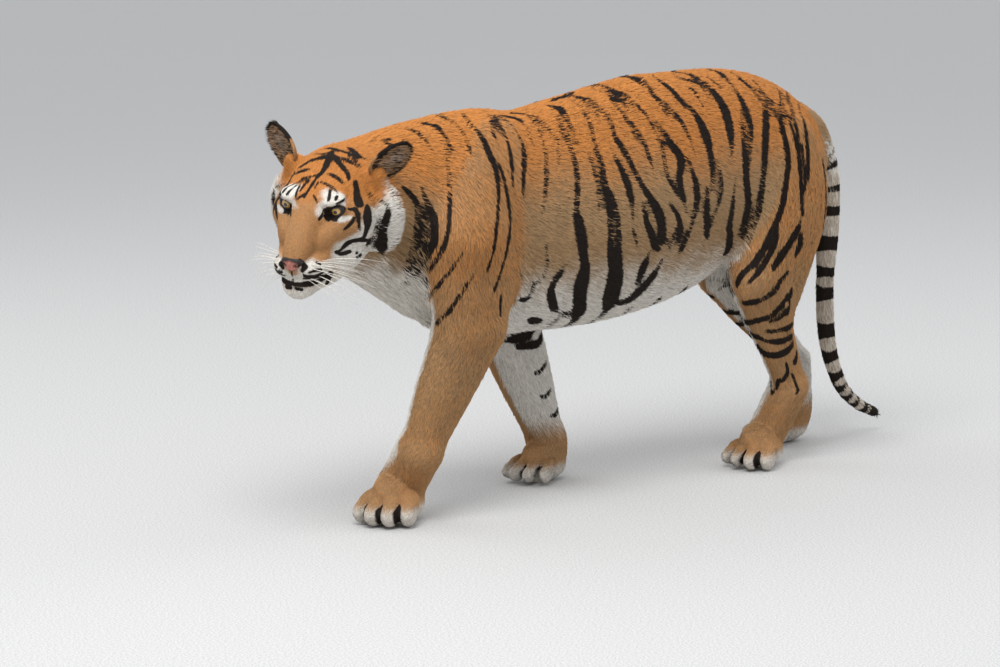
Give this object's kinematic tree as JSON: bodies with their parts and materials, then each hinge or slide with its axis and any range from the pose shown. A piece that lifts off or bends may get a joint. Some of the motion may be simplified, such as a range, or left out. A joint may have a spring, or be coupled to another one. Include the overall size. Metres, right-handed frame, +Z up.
{
  "type": "tiger",
  "caption": "Adult tiger in mid-stride as a still, life-size figure: head lowered and turned to its left, mouth closed, tail hanging, orange coat with black stripes and white underside.",
  "frame": {"origin": "middle of the figure's footprint, on the floor it stands on", "axes": "+Z up; the nose points towards -Y and the tail towards +Y; the animal's own left is +X"},
  "size_m": [0.4467, 1.9696, 0.9446],
  "materials": {
    "coat": "short dense fur, orange with black stripes, white below",
    "muzzle": "very short fur, tan above, white at the lips",
    "ears": "short dark fur behind, long pale hair inside",
    "paws": "short tan fur, white toes",
    "tail": "grey-white fur with black rings",
    "eyes": "wet amber eye with a round pupil",
    "nose": "damp pink nose leather edged in black"
  },
  "bodies": {
    "root": {"trunk": "coat", "neck": "coat", "head": "coat", "muzzle": "muzzle", "left_ear": "ears", "right_ear": "ears", "left_eye": "eyes", "right_eye": "eyes", "nose": "nose", "left_shoulder": "coat", "left_forearm": "coat", "left_forepaw": "paws", "right_shoulder": "coat", "right_forearm": "coat", "right_forepaw": "paws", "left_thigh": "coat", "left_shank": "coat", "left_hindpaw": "paws", "right_thigh": "coat", "right_shank": "coat", "right_hindpaw": "paws", "tail_root": "tail", "tail_upper": "tail", "tail_middle": "tail", "tail_tip": "tail"}
  },
  "joints": []
}
